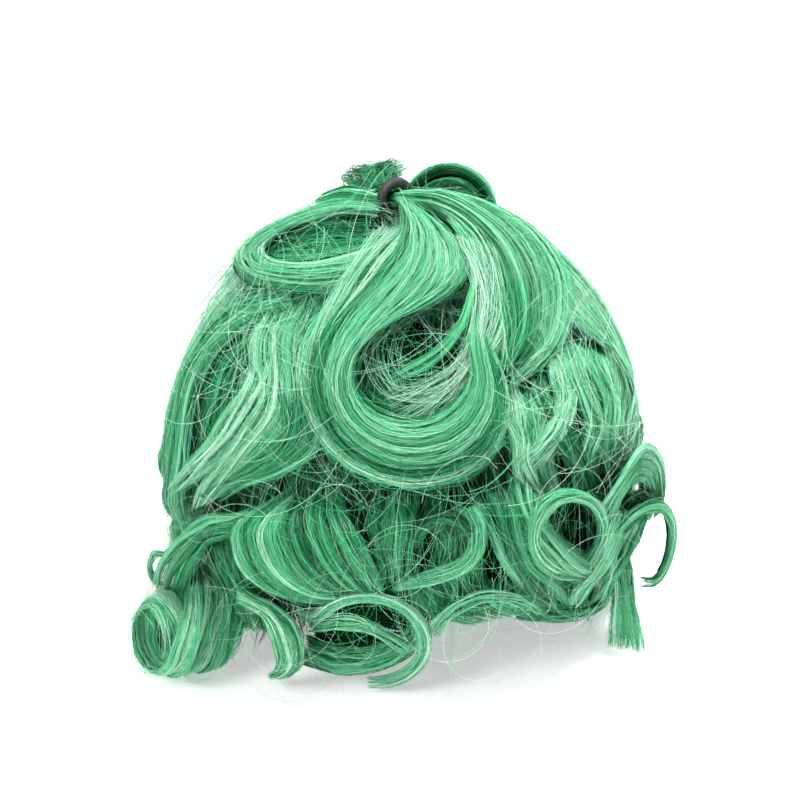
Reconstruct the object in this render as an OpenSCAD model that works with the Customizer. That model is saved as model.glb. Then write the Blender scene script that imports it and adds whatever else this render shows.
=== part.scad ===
// Costume wig, half up: a wefted cap, hair panels hanging from it to a curled hem,
// and the upper hair gathered through an elastic tie into a tail rolled on the back of the crown.
// Millimetres. +Z is up, the face opening is on +Y, the tail and the back of the wig are on -Y.
// The origin is on the surface the wig stands on, under the middle of the cap.

/* [Cap] */
// Radius of the cap at its rim, for a head of about 55 cm
cap_r = 88; // [84:1:90]
// Height of the cap's crown above its rim
cap_rise = 108; // [100:1:112]
// Height of the cap's rim above the surface
rim_z = 92; // [90:1:96]
// Thickness of the cap's net
net_t = 0.8; // [0.6:0.1:1]
// Latitude of the front edge of the cap, where the forehead band runs
front_lat = 34; // [30:1:38]

/* [Hair] */
// Radius of the hair at the level of the rim
hair_r = 117; // [116:1:120]
// Height of the hair's crown above the rim
hair_rise = 121; // [120:1:124]
// Radius of the hanging hair behind the hem curls
hem_r = 94; // [92:1:95]
// Half the width of the face opening, in degrees round the head
face_half = 40; // [36:1:42]

/* [Tie and tail] */
// Centre of the elastic tie
tie_pos = [-3, -22, 228];
// Inner radius of the tie, which runs on the gathered stem
tie_bore_r = 5; // [4.5:0.1:5]
// Thickness of the elastic, wound into one ring
tie_band = 5; // [4:0.5:5]
// How far the tie can slide back along the stem
tie_travel = 4; // [2:1:4]

/* [Nape straps] */
// Length of each elastic strap
strap_len = 26; // [24:1:26]
// Width of each elastic strap
strap_w = 8; // [6:1:9]
// How far each strap's hook can be moved along its loops
strap_travel = 12; // [8:1:12]

/* [Hidden] */
$fn = 96;

// The layers from the inside out: straps, net, wefts, hair
band_t = 1;          // woven bands sewn inside the net
layer_gap = 0.3;     // between two sewn layers
weft_t = 1.3;        // stitched head of a weft
weft_w = 3.5;        // its height
hair_gap = 0.2;      // between the wefts and the hair
seam = 0.3;          // half the gap between two hair panels, in degrees
root_r = cap_r + weft_t + layer_gap + hair_gap;         // inner radius of the hair at the rim
root_rise = cap_rise + weft_t + layer_gap + hair_gap;   // and its height over the crown
crown_lat = 50;      // where the crown hair meets the hanging panels
panel_in_r = 84;     // inner radius of the panels at the hem
tab_drop = 30;       // how far an ear tab hangs below the rim
hair_green = [0.27, 0.75, 0.5];
deep_green = [0.18, 0.62, 0.4];
pale_green = [0.45, 0.85, 0.64];
net_green = [0.2, 0.45, 0.32];
tie_dir = [0.5, -0.866, 0];    // the way the stem runs through the tie
stem_r = tie_bore_r - 0.1;
stem_ahead = 6;                // the stem's end, past the middle of the tie
slope = 22;                    // the tail side is laid out as seen from this far above level

// Points of an ellipse, from angle a to angle b, in n steps
function arc(rx, ry, a, b, n) = [for (i = [0:n]) let (t = a + (b - a) * i / n) [rx * cos(t), ry * sin(t)]];
function raised(points, z) = [for (p = points) [p.x, p.y + z]];
function unit(v) = v / norm(v);
function mix(a, b, t) = a + (b - a) * t;

// A point h above the hair's dome: x sideways, and v up its slope from the middle of the wig
slope_up = [0, sin(slope), cos(slope)];
slope_out = [0, -cos(slope), sin(slope)];
slope_origin = [0, 0, 103];
function on_dome(x, v, h) = let (
        rx = hair_r + h,
        rz = hair_rise + h,
        p = slope_origin - [0, 0, rim_z] + [x, 0, 0] + v * slope_up,
        a = (slope_out.y / rx) ^ 2 + (slope_out.z / rz) ^ 2,
        b = p.y * slope_out.y / rx ^ 2 + p.z * slope_out.z / rz ^ 2,
        c = (p.x / rx) ^ 2 + (p.y / rx) ^ 2 + (p.z / rz) ^ 2 - 1,
        d = max(b * b - a * c, 0))
    p + [0, 0, rim_z] + slope_out * (-b + sqrt(d)) / a;
function dome_normal(p) = unit([p.x / hair_r ^ 2, p.y / hair_r ^ 2, (p.z - rim_z) / hair_rise ^ 2]);

// A lock of hair: a tube along points on the dome, with half widths w across and t thick
lock_sides = 12;
module lock(path, w, t, closed = false) {
    n = len(path);
    rings = [for (i = [0:n - 1]) let (
            ahead = closed ? path[(i + 1) % n] : path[min(i + 1, n - 1)],
            behind = closed ? path[(i + n - 1) % n] : path[max(i - 1, 0)],
            out = dome_normal(path[i]),
            across = unit(cross(ahead - behind, out)),
            up = unit(cross(across, ahead - behind)))
        [for (k = [0:lock_sides - 1]) let (a = 360 * k / lock_sides)
            path[i] + across * w[i] * cos(a) + up * t[i] * sin(a)]];
    spans = closed ? n : n - 1;
    walls = [for (i = [0:spans - 1], k = [0:lock_sides - 1]) let (
            j = (i + 1) % n,
            m = (k + 1) % lock_sides)
        [i * lock_sides + k, i * lock_sides + m, j * lock_sides + m, j * lock_sides + k]];
    ends = closed ? [] : [
        [for (k = [lock_sides - 1:-1:0]) k],
        [for (k = [0:lock_sides - 1]) (n - 1) * lock_sides + k]];
    triangles = [for (f = concat(walls, ends), i = [1:len(f) - 2]) [f[0], f[i + 1], f[i]]];
    polyhedron([for (r = rings) each r], triangles);
}

// A sector of the round shell whose section is drawn in the +X half of the XY plane
module sector(from, to) {
    rotate([0, 0, from])
        rotate_extrude(angle = to - from)
            children();
}

// Section of a layer of the cap, between two latitudes
module cap_section(offset_in, offset_out, low, high) {
    steps = max(3, round((high - low) / 5));
    outer = arc(cap_r + offset_out, cap_rise + offset_out, low, high, steps);
    inner = arc(cap_r + offset_in, cap_rise + offset_in, high, low, steps);
    polygon(raised(concat(outer, inner), rim_z));
}

module net_sector(from, to, low, high) {
    color(net_green) sector(from, to) cap_section(-net_t, 0, low, high);
}

module crown_net() { net_sector(0, 360, front_lat + 1, 89.5); }
module back_net() { net_sector(212, 328, 0, front_lat + 0.8); }
module left_side_net() { net_sector(138, 211.7, 0, front_lat + 0.8); }
module right_side_net() { net_sector(-31.7, 42, 0, front_lat + 0.8); }

module front_band() {
    color(pale_green) sector(42.4, 137.6) cap_section(-net_t, 0.4, front_lat - 7, front_lat + 0.8);
}

module nape_band() {
    color("darkslategray")
        sector(215, 325)
            cap_section(-net_t - band_t - layer_gap, -net_t - layer_gap, 0, 6.5);
}

// An elastic rib inside the net, along an arc of the cap from one latitude over the top to another
module rib(layer, from, to) {
    outer_off = -net_t - layer_gap - layer * (0.7 + layer_gap);
    outer = arc(cap_r + outer_off, cap_rise + outer_off, from, to, 24);
    inner = arc(cap_r + outer_off - 0.7, cap_rise + outer_off - 0.7, to, from, 24);
    color("darkslategray")
        rotate([90, 0, 0])
            linear_extrude(10, center = true)
                polygon(raised(concat(outer, inner), rim_z));
}

module centre_strap() { rotate([0, 0, 90]) rib(0, front_lat + 3, 170); }
module cross_strap() { rib(1, 8, 172); }

module ear_tab(side) {
    half_w = 16;
    color(net_green)
        intersection() {
            sector(side - 14, side + 14)
                translate([cap_r - net_t, rim_z - tab_drop - 1])
                    square([1.2, tab_drop + 0.9]);
            rotate([90, 0, side + 90])
                linear_extrude(3 * cap_r, center = true) {
                    translate([0, rim_z - tab_drop + half_w]) circle(half_w);
                    translate([-half_w, rim_z - tab_drop + half_w]) square([2 * half_w, tab_drop]);
                }
        }
}

module ear_stay(side) {
    color("whitesmoke")
        sector(side - 2, side + 2)
            translate([cap_r - net_t - 0.65, rim_z - tab_drop + 4])
                square([0.6, 22]);
}

module ear_tab_left() { ear_tab(180); }
module ear_tab_right() { ear_tab(0); }
module ear_stay_left() { ear_stay(180); }
module ear_stay_right() { ear_stay(0); }

// One stitched weft head, a ring round the cap at one latitude
module weft(from, to, lat) {
    half = weft_w / 2 / cap_r * 57.3;
    sector(from, to) cap_section(layer_gap, layer_gap + weft_t, lat - half, lat + half);
}

module crown_wefts() {
    color(deep_green) for (lat = [40:8:80]) weft(0, 360, lat);
}

module back_wefts() {
    color(deep_green) for (lat = [3:6:33]) weft(213, 327, lat);
}

module side_wefts() {
    color(deep_green) for (from = [-30.7, 139], lat = [3:6:33]) weft(from, from + 71.7, lat);
}

// Nape fastening. Each side is laid out on a straight line strap_line from the axis of the cap,
// square to the direction strap_side, with +X running towards the middle of the nape.
strap_line = cap_r - 8.9;
strap_side = 20;
strap_t = 0.8;
strap_z = rim_z + 6;
strap_from = -28;
casing_from = -29;
casing_len = 13;
casing_gap = 0.2;
casing_wall = 0.5;
hook_len = 10;
module nape_side(mirrored) {
    mirror([mirrored ? 1 : 0, 0, 0])
        rotate([0, 0, strap_side])
            translate([0, -strap_line, strap_z])
                mirror([1, 0, 0])
                    children();
}

module centred_bar(from, to, thick, wide) {
    translate([from, -thick / 2, -wide / 2])
        cube([to - from, thick, wide]);
}

module strap_casing(mirrored) {
    inside_t = strap_t + 2 * casing_gap;
    inside_w = strap_w + 2 * casing_gap;
    color("darkslategray")
        nape_side(mirrored)
            difference() {
                centred_bar(casing_from, casing_from + casing_len,
                    inside_t + 2 * casing_wall, inside_w + 2 * casing_wall);
                centred_bar(casing_from - 1, casing_from + casing_len + 1, inside_t, inside_w);
            }
}

module adjuster_strap(mirrored) {
    color("black") nape_side(mirrored) centred_bar(strap_from, strap_from + strap_len, strap_t, strap_w);
}

// A flat hook: a plate that the strap is sewn to, and a tongue that goes through a loop
module adjuster_hook(mirrored) {
    from = strap_from + strap_len;
    color("dimgray")
        nape_side(mirrored)
            difference() {
                union() {
                    centred_bar(from + 0.05, from + 5, 1.2, strap_w + 1);
                    centred_bar(from + 4, from + hook_len, 1.2, 3.4);
                }
                centred_bar(from + 1.4, from + 2.8, 3, strap_w - 2);
            }
}

// Loops of tape along the nape band that the hooks are set in
loops_a_side = 4;
loop_step = 4;
loop_t = 1.6;
module nape_loops() {
    face_r = cap_r - net_t - band_t - 2 * layer_gap - 0.1;
    color("black")
        for (side = [-1, 1], i = [0:loops_a_side - 1])
            sector(270 + side * (7 + loop_step * i) - 0.6, 270 + side * (7 + loop_step * i) + 0.6)
                difference() {
                    translate([face_r - loop_t, strap_z - 3.5]) square([loop_t, 7]);
                    translate([face_r - loop_t + 0.4, strap_z - 2.8]) square([loop_t - 0.8, 5.6]);
                }
}

module strap_casing_left() { strap_casing(true); }
module strap_casing_right() { strap_casing(false); }
module adjuster_strap_left() { adjuster_strap(true); }
module adjuster_strap_right() { adjuster_strap(false); }
module adjuster_hook_left() { adjuster_hook(true); }
module adjuster_hook_right() { adjuster_hook(false); }

// Section of a hair panel from its hem at height low up to the crown hair
module panel_section(low) {
    outer = raised(arc(hair_r, hair_rise, crown_lat - 0.3, 10, 8), rim_z);
    below = [[hair_r - 10, rim_z + 12], [hem_r + 4, rim_z + 4], [hem_r + 2, rim_z - 12], [hem_r, low]];
    inside = [[panel_in_r, low], [panel_in_r + 3, low + 30], [root_r, rim_z - tab_drop - 4]];
    inner = raised(arc(root_r, root_rise, 0, crown_lat - 0.3, 9), rim_z);
    polygon(concat(outer, below, inside, inner));
}

module hair_panel(from, to, low = 0) {
    color(hair_green) sector(from + seam, to - seam) panel_section(low);
}

module crown_hair() {
    color(hair_green)
        rotate_extrude() {
            outer = arc(hair_r, hair_rise, crown_lat, 90, 8);
            inner = arc(root_r, root_rise, 90, crown_lat, 8);
            polygon(raised(concat(outer, inner), rim_z));
        }
}

// The hair over the forehead is swept back, so it thins towards the front band
module front_hair() {
    brow = front_lat + 1.5;
    color(pale_green)
        sector(90 - face_half + seam, 90 + face_half - seam) {
            outer = arc(hair_r, hair_rise, crown_lat - 0.3, brow + 4, 3);
            edge = [[root_r * cos(brow) + 5, root_rise * sin(brow) + 1]];
            inner = arc(root_r, root_rise, brow, crown_lat - 0.3, 4);
            polygon(raised(concat(outer, edge, inner), rim_z));
        }
}

lifted_hem = 22;
module temple_lock_right() { hair_panel(20, 90 - face_half); }
module side_hair_right() { hair_panel(-30, 20); }
module back_hair_right() { hair_panel(-84, -30, lifted_hem); }
module back_hair_left() { hair_panel(210, 276); }
module side_hair_left() { hair_panel(160, 210); }
module temple_lock_left() { hair_panel(90 + face_half, 160); }

// Turns +Z towards a direction
module along(dir) {
    rotate([0, acos(dir.z / norm(dir)), atan2(dir.y, dir.x)]) children();
}

// The upper hair drawn together, and the stem of it that the tie is round
module gathered_hair() {
    behind = tie_travel + tie_band / 2 + 0.6;
    drawn_from = [-16, 10, 211];
    drawn_to = tie_pos - tie_dir * (behind + 2.6);
    color(deep_green) {
        translate(drawn_from)
            along(drawn_to - drawn_from)
                cylinder(norm(drawn_to - drawn_from), 9.5, 6);
        translate(tie_pos)
            along(tie_dir)
                translate([0, 0, -behind - 3])
                    cylinder(behind + 3 + stem_ahead, stem_r, stem_r);
    }
}

module hair_tie() {
    color("black")
        translate(tie_pos)
            along(tie_dir)
                rotate_extrude()
                    translate([tie_bore_r + tie_band / 2, 0])
                        circle(tie_band / 2, $fn = 32);
}

// Ends of hair that stand up behind the tie
module rear_tuft() {
    color(pale_green)
        translate([-22, 22, 204])
            rotate([0, 14, 0])
                scale([1, 0.45, 1])
                    cylinder(26, 11, 15);
}

// The arch of hair pulled half way through the tie
module top_loop() {
    color(hair_green)
        translate([25, 9, 211])
            rotate([90, 12, -8])
                rotate_extrude(start = -12, angle = 204)
                    translate([18.5, 0])
                        polygon(arc(4.6, 6, 0, 342, 19));
}

function taper(n, ends, middle) = [for (i = [0:n]) mix(ends, middle, sin(180 * i / n) ^ 0.5)];

// A flat loop of hair on the left of the crown: out from the tie, round, and back
module left_roll() {
    n = 22;
    path = [for (i = [0:n]) let (a = 78 + 196 * i / n) on_dome(-42 + 40 * cos(a), 84 + 13 * sin(a), 8)];
    color(hair_green) lock(path, taper(n, 4, 6.5), taper(n, 4, 6));
}

// The tail's outer lock: from the tie round the right of the crown
module tail_sweep() {
    n = 18;
    path = [for (i = [0:n]) let (a = 84 - 99 * i / n, r = 70 - 8 * i / n)
        on_dome(5 + r * cos(a), 30 + r * sin(a), 12)];
    color(hair_green) lock(path, taper(n, 5, 10), taper(n, 5, 9));
}

// The tail's middle lock: from the tie down to the swirl
module tail_bundle() {
    n = 10;
    path = [for (i = [0:n]) let (t = i / n) on_dome(2 + 25 * sin(90 * t), 86 - 30 * t, 12)];
    color(pale_green) lock(path, taper(n, 5, 8), taper(n, 5, 9));
}

// The end of the tail, rolled up on the back of the head round a hollow
swirl_v = 12;
module tail_swirl() {
    n = 36;
    path = [for (i = [0:n - 1]) let (a = 360 * i / n) on_dome(1 + 32 * cos(a), swirl_v + 33 * sin(a), 15)];
    half = [for (i = [0:n - 1]) 13];
    color(deep_green) lock(path, half, half, closed = true);
}

// A ring of hair at a place: its axis points round to az, and its section is wide x deep
module ring_curl(pos, az, r, wide, deep, from = 0, sweep = 360, tilt = 0) {
    translate(pos)
        rotate([0, 0, az])
            rotate([0, 90 - tilt, 0])
                rotate([0, 0, from])
                    rotate_extrude(angle = sweep)
                        translate([r, 0])
                            polygon(arc(wide, deep, 0, 340, 17));
}

// A rolled lock lying level round the hem: a tube at azimuth az, radius out and height z
module level_roll(az, out, z, length, r, hollow) {
    rotate([0, 0, az])
        translate([out, 0, z])
            rotate([90, 0, 0])
                difference() {
                    cylinder(length, r, r, center = true);
                    cylinder(length + 2, hollow, hollow, center = true);
                }
}

module left_spiral_curl() { color(hair_green) ring_curl([-110, -90, 27.5], 250, 18.5, 8.5, 13); }
module left_hem_curl() { color(hair_green) ring_curl([-113, -46, 80], 203, 13, 7, 10); }
module crescent_curl() { color(deep_green) ring_curl([-56, -106, 21], 242, 13.5, 7, 9, 35, 290); }
module centre_ring_curl() { color(hair_green) ring_curl([-8, -108, 27.5], 270, 19.5, 6.5, 8); }
module big_left_roll() { color(hair_green) level_roll(249, 119, 80, 72, 21.5, 11); }
module s_lock() { color(deep_green) level_roll(284, 114, 76, 42, 16, 8); }
module right_ring_curl() { color(hair_green) ring_curl([83, -86, 74], 313, 15, 6, 8); }
module right_roll() { color(hair_green) level_roll(346, 118, 84, 50, 17.5, 9); }
module right_loop_curl() { color(deep_green) ring_curl([118, -30, 38], 283, 15.5, 6, 7); }
module left_side_roll() { color(hair_green) level_roll(173, 118, 78, 46, 19, 9); }
module left_side_curl() { color(deep_green) ring_curl([-113, -8, 26], 184, 17.5, 8, 9); }
module left_front_roll() { color(hair_green) level_roll(146, 118, 78, 48, 19, 9); }
module left_front_curl() { color(hair_green) ring_curl([-90, 78, 25], 139, 17, 8, 12); }
module right_side_curl() { color(hair_green) ring_curl([114, 16, 25], 8, 17, 8, 9); }
module right_front_roll() { color(deep_green) level_roll(30, 118, 78, 64, 19, 9); }
module right_front_curl() { color(hair_green) ring_curl([88, 80, 25], 42, 17, 8, 12); }

// A straight cut end of hair that reaches the surface
module right_tuft() {
    top = [107, -62, 58];
    tip = [115, -74, 2.5];
    color(pale_green)
        translate(tip)
            along(top - tip)
                cylinder(norm(top - tip), 3.5, 6.5);
}

crown_net();
back_net();
left_side_net();
right_side_net();
front_band();
nape_band();
centre_strap();
cross_strap();
ear_tab_left();
ear_tab_right();
ear_stay_left();
ear_stay_right();
crown_wefts();
back_wefts();
side_wefts();
strap_casing_left();
strap_casing_right();
adjuster_strap_left();
adjuster_strap_right();
adjuster_hook_left();
adjuster_hook_right();
nape_loops();
crown_hair();
front_hair();
temple_lock_left();
temple_lock_right();
side_hair_left();
side_hair_right();
back_hair_left();
back_hair_right();
gathered_hair();
rear_tuft();
top_loop();
left_roll();
hair_tie();
tail_sweep();
tail_bundle();
tail_swirl();
left_spiral_curl();
left_hem_curl();
crescent_curl();
centre_ring_curl();
big_left_roll();
s_lock();
right_ring_curl();
right_roll();
right_loop_curl();
right_tuft();
left_side_roll();
left_side_curl();
left_front_roll();
left_front_curl();
right_side_curl();
right_front_roll();
right_front_curl();
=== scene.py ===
"""Costume wig: the looks. Every lock is a band of fine fibres laid over the cap, in place of its solid.
Lengths are in millimetres until a mesh is made, in the part's own frame."""
import math

import bpy
import numpy as np
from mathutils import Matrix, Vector


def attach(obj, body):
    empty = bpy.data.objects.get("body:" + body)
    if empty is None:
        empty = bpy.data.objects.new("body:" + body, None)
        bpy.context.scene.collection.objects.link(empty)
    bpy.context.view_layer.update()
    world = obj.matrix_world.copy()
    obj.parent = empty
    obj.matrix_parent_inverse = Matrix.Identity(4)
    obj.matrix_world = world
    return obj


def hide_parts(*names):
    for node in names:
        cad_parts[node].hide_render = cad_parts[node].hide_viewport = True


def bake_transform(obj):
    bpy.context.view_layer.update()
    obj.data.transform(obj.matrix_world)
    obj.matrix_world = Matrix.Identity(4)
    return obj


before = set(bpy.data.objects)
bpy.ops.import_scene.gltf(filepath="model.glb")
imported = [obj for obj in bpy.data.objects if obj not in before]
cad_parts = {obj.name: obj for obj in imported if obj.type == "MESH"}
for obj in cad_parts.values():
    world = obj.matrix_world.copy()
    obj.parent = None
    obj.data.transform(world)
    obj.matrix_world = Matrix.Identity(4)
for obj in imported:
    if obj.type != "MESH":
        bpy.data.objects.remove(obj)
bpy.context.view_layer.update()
rng = np.random.default_rng(11)
DENSITY = 1.0
FINER = 1.12        # fibres in a lock, by its stated count
STEPS = 0.7         # points along a fibre, by its stated number
LAYER_R = 0.5       # fibres thicker than this make one even layer
# The under layers are painted shade: near-black fibres under the locks, given the dull hair_under material.
UNDER_R = 0.3       # bands with a mean radius over this have the dull material of the under layers
TURN = 2 * math.pi


# ---------------------------------------------------------------- camera, floor and light

SLOPE = math.radians(22)
TARGET = Vector((-0.0032, 0.0041, 0.1132))
CAMERA_DISTANCE = 0.98
FLOOR_REACH = 40
WALL_R, WALL_LOW, WALL_TOP, WALL_SIDES = 12, -0.5, 10, 48


def make_camera():
    back = Vector((0, -math.cos(SLOPE), math.sin(SLOPE)))
    data = bpy.data.cameras.new("camera")
    data.lens = 85
    data.clip_end = 100
    camera = bpy.data.objects.new("camera", data)
    bpy.context.scene.collection.objects.link(camera)
    camera.location = TARGET + back * CAMERA_DISTANCE
    camera.rotation_euler = back.to_track_quat("Z", "Y").to_euler()
    bpy.context.scene.camera = camera


def principled(name):
    material = bpy.data.materials.new(name)
    material.use_nodes = True
    return material, material.node_tree, material.node_tree.nodes["Principled BSDF"]


def stage_piece(name, verts, faces, base, glow):
    """A pale, faintly glowing surface round the wig, which is no part of it."""
    mesh = bpy.data.meshes.new(name)
    mesh.from_pydata(verts, [], faces)
    piece = bpy.data.objects.new(name, mesh)
    bpy.context.scene.collection.objects.link(piece)
    material, _, shader = principled(name + "_white")
    shader.inputs["Base Color"].default_value = (base, base, base, 1)
    shader.inputs["Emission Color"].default_value = (1, 1, 1, 1)
    shader.inputs["Emission Strength"].default_value = glow
    mesh.materials.append(material)
    return piece, shader


def make_floor():
    far = FLOOR_REACH
    _, shader = stage_piece("floor", [(-far, -far, 0), (far, -far, 0), (far, far, 0), (-far, far, 0)],
                            [(0, 1, 2, 3)], 0.93, 0.45)
    shader.inputs["Roughness"].default_value = 0.7


def make_far_wall():
    """Closes off the view past the floor, and lights nothing."""
    turns = [TURN * i / WALL_SIDES for i in range(WALL_SIDES)]
    verts = [(WALL_R * math.cos(a), WALL_R * math.sin(a), z) for z in (WALL_LOW, WALL_TOP) for a in turns]
    faces = [(i, (i + 1) % WALL_SIDES, WALL_SIDES + (i + 1) % WALL_SIDES, WALL_SIDES + i)
             for i in range(WALL_SIDES)]
    wall, shader = stage_piece("far_wall", verts, faces, 0, 0.79)
    shader.inputs["Specular IOR Level"].default_value = 0
    wall.visible_diffuse = False
    wall.visible_glossy = False


def area_light(name, place, size, power):
    data = bpy.data.lights.new(name, "AREA")
    data.shape = "DISK"
    data.size = size
    data.energy = power
    light = bpy.data.objects.new(name, data)
    bpy.context.scene.collection.objects.link(light)
    light.location = place
    aim = Vector(place) - Vector((0, 0, 0.1))
    light.rotation_euler = aim.to_track_quat("Z", "Y").to_euler()


def make_light():
    area_light("overhead_softbox", (0.35, -0.05, 1.6), 0.6, 46)
    area_light("front_softbox", (-1.0, -1.2, 1.1), 0.7, 22)
    world = bpy.data.worlds.new("studio")
    bpy.context.scene.world = world
    world.use_nodes = True
    world.node_tree.nodes["Background"].inputs["Color"].default_value = (1, 1, 1, 1)
    world.node_tree.nodes["Background"].inputs["Strength"].default_value = 0.37
    bpy.context.scene.view_settings.view_transform = "Standard"


make_camera()
make_floor()
make_far_wall()
make_light()


# ---------------------------------------------------------------- surfaces that hair is laid out on

HAIR_R, HAIR_RISE, RIM_Z = 117.0, 121.0, 92.0
SLOPE_UP = np.array([0, math.sin(SLOPE), math.cos(SLOPE)])
SLOPE_OUT = np.array([0, -math.cos(SLOPE), math.sin(SLOPE)])
TIE = np.array([-3.0, -22.0, 228.0])
TIE_DIR = np.array([0.5, -0.866, 0.0])


def past_outline(reach):
    """Hair that would pass the outline goes on round the far side: gives its share of x, and its angle."""
    edge = 0.88
    turn = math.asin(edge)
    angle = np.where(reach > edge, turn + (reach - edge) / math.cos(turn), np.arcsin(np.minimum(reach, edge)))
    angle = np.minimum(angle, math.radians(115))
    return np.sin(angle) / np.maximum(reach, 1e-6), angle


def on_dome(p):
    """x sideways, v up the tail side's slope, and a height over the hair's dome."""
    rx = HAIR_R + p[..., 2]
    rz = HAIR_RISE + p[..., 2]
    rv = np.hypot(rx * SLOPE_UP[1], rz * SLOPE_UP[2])
    mid = (RIM_Z - 103) * SLOPE_UP[2]
    share, angle = past_outline(np.hypot(p[..., 0] / rx, (p[..., 1] - mid) / rv))
    start = np.zeros(p.shape)
    start[..., 0] = p[..., 0] * share
    start = start + (mid + (p[..., 1:2] - mid) * share[..., None]) * SLOPE_UP
    start[..., 2] += 103 - RIM_Z
    a = (SLOPE_OUT[1] / rx) ** 2 + (SLOPE_OUT[2] / rz) ** 2
    b = start[..., 1] * SLOPE_OUT[1] / rx ** 2 + start[..., 2] * SLOPE_OUT[2] / rz ** 2
    c = (start[..., 0] / rx) ** 2 + (start[..., 1] / rx) ** 2 + (start[..., 2] / rz) ** 2 - 1
    near = np.where(angle < TURN / 4, 1, -1)
    along = (-b + near * np.sqrt(np.maximum(b * b - a * c, 0))) / a
    out = start + along[..., None] * SLOPE_OUT
    out[..., 2] += RIM_Z
    return out


def on_crown(p):
    """x and y in plan, and a height over the top of the dome."""
    flat = (p[..., 0] ** 2 + p[..., 1] ** 2) / (HAIR_R + p[..., 2]) ** 2
    z = RIM_Z + (HAIR_RISE + p[..., 2]) * np.sqrt(np.maximum(1 - flat, 0))
    return np.stack([p[..., 0], p[..., 1], z], -1)


def on_hem(p):
    """x sideways, v up the same slope, on an upright cylinder a height out from the hem on the tail side."""
    r = 118 + p[..., 2]
    share, angle = past_outline(np.abs(p[..., 0]) / r)
    y = -r * np.cos(angle)
    z = 103 + (p[..., 1] - SLOPE_UP[1] * y) / SLOPE_UP[2]
    return np.stack([p[..., 0] * share, y, np.maximum(z, 1.0)], -1)


def hang_profile():
    """The line that hanging hair follows: down the dome from its pole, then to the hem."""
    lat = np.radians(np.linspace(90, 4, 30))
    dome = np.stack([HAIR_R * np.cos(lat), RIM_Z + HAIR_RISE * np.sin(lat)], -1)
    hem = np.array([[117, 90], [115, 78], [111, 62], [107, 45], [103, 28], [101, 12], [100, -4]])
    line = np.concatenate([dome, hem])
    length = np.concatenate([[0], np.cumsum(np.linalg.norm(np.diff(line, axis=0), axis=1))])
    return line, length


PROFILE, PROFILE_S = hang_profile()


def on_panel(p):
    """Azimuth in degrees, distance down from the pole, and a height over the hanging hair."""
    r = np.interp(p[..., 1], PROFILE_S, PROFILE[:, 0])
    z = np.interp(p[..., 1], PROFILE_S, PROFILE[:, 1])
    r2 = np.interp(p[..., 1] + 2, PROFILE_S, PROFILE[:, 0])
    z2 = np.interp(p[..., 1] + 2, PROFILE_S, PROFILE[:, 1])
    step = np.hypot(r2 - r, z2 - z) + 1e-6
    r = r + p[..., 2] * (z - z2) / step
    z = np.maximum(z + p[..., 2] * (r2 - r) / step * 0.3, 1.2)
    a = np.radians(p[..., 0])
    return np.stack([r * np.cos(a), r * np.sin(a), z], -1)


def on_side(centre, stop):
    """Millimetres round the head from a centre azimuth, stopping short of the face opening."""
    def place(p):
        azimuth = centre + p[..., 0] / 2.1
        azimuth = np.minimum(azimuth, stop) if stop > centre else np.maximum(azimuth, stop)
        return on_panel(np.stack([azimuth, p[..., 1], p[..., 2]], -1))
    return place


def unit(v):
    v = np.asarray(v, float)
    return v / np.linalg.norm(v)


def around(centre, axis, zero):
    """A place function: distance along an axis, degrees round it from zero, and radius."""
    axis = unit(axis)
    zero = unit(zero)
    quarter = np.cross(axis, zero)

    def place(p):
        a = np.radians(p[..., 1:2])
        r = p[..., 2:3]
        out = np.asarray(centre) + p[..., 0:1] * axis + r * (np.cos(a) * zero + np.sin(a) * quarter)
        out[..., 2] = np.maximum(out[..., 2], 1.0)
        return out
    return place


def as_is(p):
    return np.array(p)


# ---------------------------------------------------------------- fibres

def spline(points, t):
    """A smooth curve through control points, at parameters from 0 to 1."""
    p = np.asarray(points, float)
    last = len(p) - 1
    s = np.clip(t, 0, 1) * last
    i = np.minimum(s.astype(int), last - 1)
    f = (s - i)[..., None]
    p0, p1, p2, p3 = p[np.maximum(i - 1, 0)], p[i], p[i + 1], p[np.minimum(i + 2, last)]
    return 0.5 * (2 * p1 + (p2 - p0) * f + (2 * p0 - 5 * p1 + 4 * p2 - p3) * f ** 2
                  + (3 * p1 - p0 - 3 * p2 + p3) * f ** 3)


def ripple(count, t, cycles):
    """A smooth random wave for each row of t, about from -1 to 1."""
    total = 0
    for octave in (1, 2.3):
        phase = rng.uniform(0, TURN, (count, 1))
        rate = cycles * octave * rng.uniform(0.6, 1.4, (count, 1))
        total = total + np.sin(TURN * rate * t + phase) / octave
    return total / 1.3


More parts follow.
